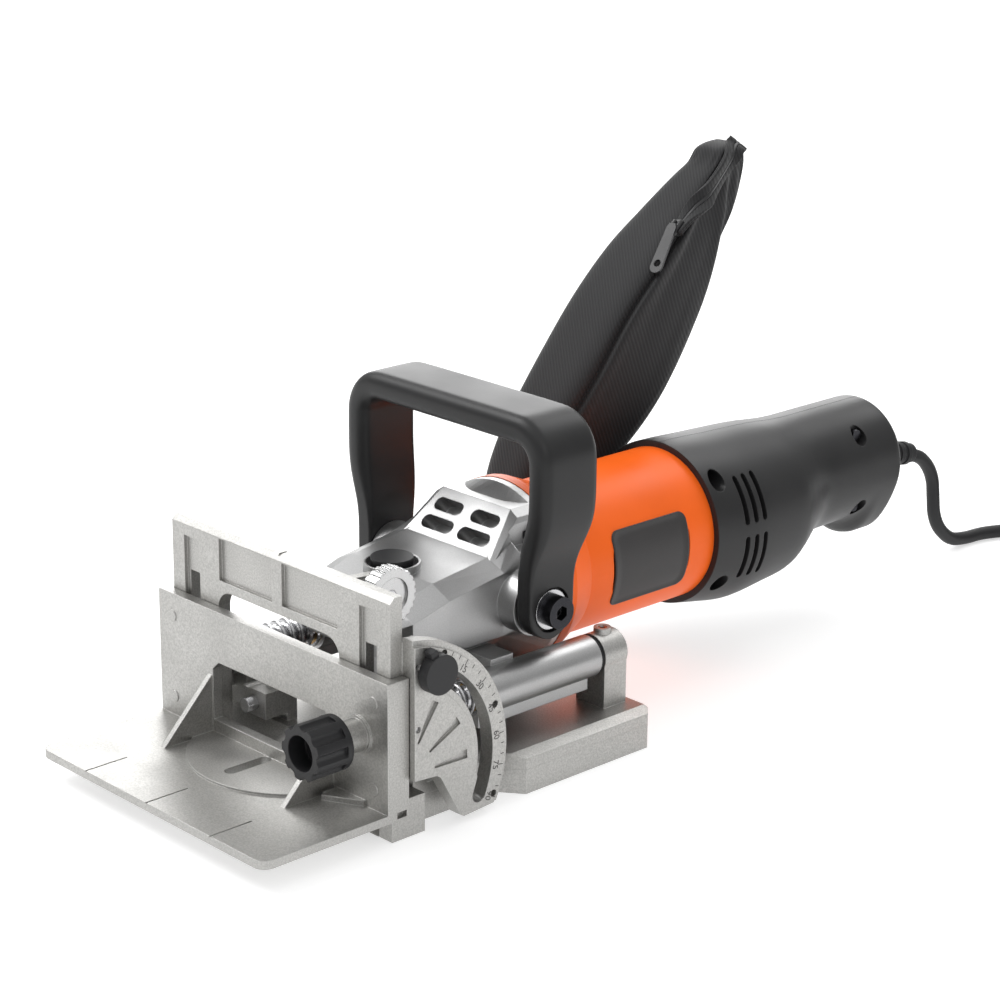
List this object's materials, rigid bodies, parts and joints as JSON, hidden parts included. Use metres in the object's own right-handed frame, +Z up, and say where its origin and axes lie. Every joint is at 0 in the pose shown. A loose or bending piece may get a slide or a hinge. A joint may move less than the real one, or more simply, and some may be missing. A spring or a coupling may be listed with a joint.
{
  "type": "biscuit joiner",
  "caption": "Corded biscuit joiner with a tilting two-part fence, plunging round blade, orange motor housing, loop front handle, barrel grip and dust bag.",
  "frame": {"origin": "centre of the base's flat sole, on the surface it stands on", "axes": "+Z up, -Y forward towards the work, +X towards the side with the angle quadrant"},
  "size_m": [0.1799, 0.6082, 0.2138],
  "materials": {
    "cast_aluminium": "blasted",
    "machined_aluminium": "satin",
    "bright_steel": "polished",
    "blackened_steel": "black oxide",
    "blade_steel": "ground",
    "orange_plastic": "semi-gloss",
    "black_plastic": "fine texture",
    "grey_plastic": "satin",
    "rubber_black": "matt",
    "bag_cloth": "twill",
    "bronze": "satin",
    "copper": "satin",
    "laminations": "satin"
  },
  "bodies": {
    "base": {"base_cover": "cast_aluminium", "base_casting": "cast_aluminium", "cover_screws": "bright_steel", "guide_rods": "bright_steel", "rod_set_screws": "bright_steel", "rod_bumpers": "rubber_black", "angle_lock_stud": "bright_steel", "dust_elbow": "black_plastic", "bag_collar": "black_plastic", "dust_bag": "bag_cloth", "turret_axle": "bright_steel", "return_springs": "bright_steel"},
    "tilt_fence": {"tilt_plate": "cast_aluminium", "angle_quadrant": "cast_aluminium", "quadrant_screws": "bright_steel", "hinge_pins": "bright_steel", "wheel_axle": "bright_steel"},
    "right_angle_fence": {"right_angle_fence": "cast_aluminium", "height_rack": "bright_steel", "knob_stud": "bright_steel"},
    "height_wheel": {"height_wheel": "machined_aluminium"},
    "star_knob": {"star_knob": "black_plastic"},
    "angle_lock_knob": {"angle_lock_knob": "black_plastic"},
    "grip_pin_left": {"grip_pin_left": "bright_steel"},
    "grip_pin_right": {"grip_pin_right": "bright_steel"},
    "depth_turret": {"depth_turret": "machined_aluminium"},
    "motor_unit": {"gear_case": "cast_aluminium", "sleeve_bushes": "bronze", "spindle_bearings": "bright_steel", "motor_bearings": "bright_steel", "stator": "copper", "brush_holders": "bronze", "motor_housing": "orange_plastic", "case_screws": "bright_steel", "label_plate": "grey_plastic", "handle_shell_left": "black_plastic", "handle_shell_right": "black_plastic", "handle_screws": "blackened_steel", "switch_module": "black_plastic", "bail_bolts": "blackened_steel", "bail_washers": "bright_steel", "depth_stop_rod": "bright_steel", "strain_relief": "rubber_black", "cord": "rubber_black", "cord_coil": "rubber_black", "plug_body": "rubber_black", "plug_pins": "bronze"},
    "spindle": {"spindle": "bright_steel", "crown_wheel": "bright_steel", "blade": "blade_steel", "blade_screw": "bright_steel"},
    "armature": {"armature": "laminations", "pinion": "bright_steel", "fan": "black_plastic", "commutator": "copper"},
    "trigger": {"trigger": "black_plastic"},
    "lock_button": {"lock_button": "black_plastic"},
    "bail_handle": {"bail_handle": "black_plastic"}
  },
  "joints": [
    {"name": "plunge", "type": "slide", "parent": "base", "child": "motor_unit", "axis": [0, -1, 0], "range_m": [0, 0.026], "stiffness_N_per_m": 900, "springref_m": -0.02, "deforming": ["return_springs"]},
    {"name": "fence_tilt", "type": "hinge", "parent": "base", "child": "tilt_fence", "pos_m": [0, -0.068, 0.0269], "axis": [1, 0, 0], "range_deg": [0, 45]},
    {"name": "fence_height", "type": "slide", "parent": "tilt_fence", "child": "right_angle_fence", "axis": [0, 0, 1], "range_m": [0, 0.03]},
    {"name": "height_wheel_turn", "type": "hinge", "parent": "tilt_fence", "child": "height_wheel", "pos_m": [0.044, -0.0503, 0.0875], "axis": [1, 0, 0], "range_deg": [-290, 0]},
    {"name": "star_knob_turn", "type": "hinge", "parent": "right_angle_fence", "child": "star_knob", "pos_m": [0.0535, -0.0928, 0.041], "axis": [0, -1, 0], "range_deg": [0, 180]},
    {"name": "angle_lock_turn", "type": "hinge", "parent": "base", "child": "angle_lock_knob", "pos_m": [0.0755, -0.0533, 0.0663], "axis": [1, 0, 0], "range_deg": [-90, 0]},
    {"name": "grip_pin_left_press", "type": "slide", "parent": "base", "child": "grip_pin_left", "axis": [0, 1, 0], "range_m": [0, 0.0025], "stiffness_N_per_m": 400, "springref_m": -0.002},
    {"name": "grip_pin_right_press", "type": "slide", "parent": "base", "child": "grip_pin_right", "axis": [0, 1, 0], "range_m": [0, 0.0025], "stiffness_N_per_m": 400, "springref_m": -0.002},
    {"name": "depth_turret_turn", "type": "hinge", "parent": "base", "child": "depth_turret", "pos_m": [-0.03, -0.0437, 0.0335], "axis": [0, 1, 0], "continuous": true},
    {"name": "armature_spin", "type": "hinge", "parent": "motor_unit", "child": "armature", "pos_m": [0, 0.1, 0.0622], "axis": [0, 1, 0], "continuous": true},
    {"name": "blade_spin", "type": "hinge", "parent": "motor_unit", "child": "spindle", "pos_m": [0, -0.011, 0.03], "axis": [0, 0, 1], "continuous": true},
    {"name": "trigger_press", "type": "hinge", "parent": "motor_unit", "child": "trigger", "pos_m": [0, 0.2375, 0.0455], "axis": [-1, 0, 0], "range_deg": [0, 8], "stiffness_Nm_per_rad": 0.6, "springref_deg": -5.73},
    {"name": "lock_button_press", "type": "slide", "parent": "motor_unit", "child": "lock_button", "axis": [0, 0, -1], "range_m": [0, 0.005], "stiffness_N_per_m": 300, "springref_m": -0.002},
    {"name": "bail_swing", "type": "hinge", "parent": "motor_unit", "child": "bail_handle", "pos_m": [0, 0.0284, 0.0643], "axis": [1, 0, 0], "range_deg": [-12, 25]}
  ],
  "couplings": [
    {"joint": "height_wheel_turn", "follows": "fence_height", "rad_per_m": -166.67},
    {"joint": "blade_spin", "follows": "armature_spin", "ratio": 0.33333}
  ]
}
